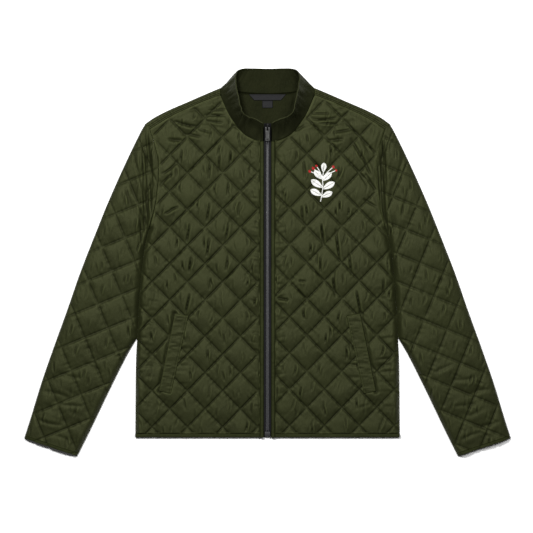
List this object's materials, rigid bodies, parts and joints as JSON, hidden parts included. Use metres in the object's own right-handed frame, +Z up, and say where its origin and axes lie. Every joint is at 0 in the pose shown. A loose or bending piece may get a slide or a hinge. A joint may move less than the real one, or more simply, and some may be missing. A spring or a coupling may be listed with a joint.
{
  "type": "quilted jacket",
  "caption": "Lightweight diamond-quilted zip-front jacket with a stand collar, long sleeves and slanted welt pockets, laid flat on its back.",
  "frame": {"origin": "centre of the bounding box's base: the surface that the jacket lies on", "axes": "+X towards the wearer's left sleeve, +Y from the hem to the collar, +Z up from the back to the fronts"},
  "size_m": [0.974, 0.776, 0.0456],
  "materials": {
    "shell_fabric": "satin",
    "binding": "matte",
    "zip_tape": "matte",
    "zip_coil": "satin",
    "zip_metal": "gunmetal",
    "label": "matte"
  },
  "bodies": {
    "jacket": {"back": "shell_fabric", "hem_binding_back": "binding", "front_left": "shell_fabric", "placket_left": "binding", "hem_binding_left": "binding", "pocket_welt_left": "shell_fabric", "sleeve_left": "shell_fabric", "cuff_binding_left": "binding", "zip_tape_left": "zip_tape", "front_right": "shell_fabric", "placket_right": "binding", "hem_binding_right": "binding", "pocket_welt_right": "shell_fabric", "sleeve_right": "shell_fabric", "cuff_binding_right": "binding", "zip_tape_right": "zip_tape", "collar": "shell_fabric", "zip_chain": "zip_coil", "zip_box": "zip_tape", "neck_label": "label", "size_label": "label", "zip_slider": "zip_metal"},
    "pull_tab": {"zip_pull": "zip_metal"}
  },
  "joints": [
    {"name": "pull_tab_hinge", "type": "hinge", "parent": "jacket", "child": "pull_tab", "pos_m": [0, 0.26668, 0.0346], "axis": [-1, 0, 0], "range_deg": [0, 150]}
  ]
}
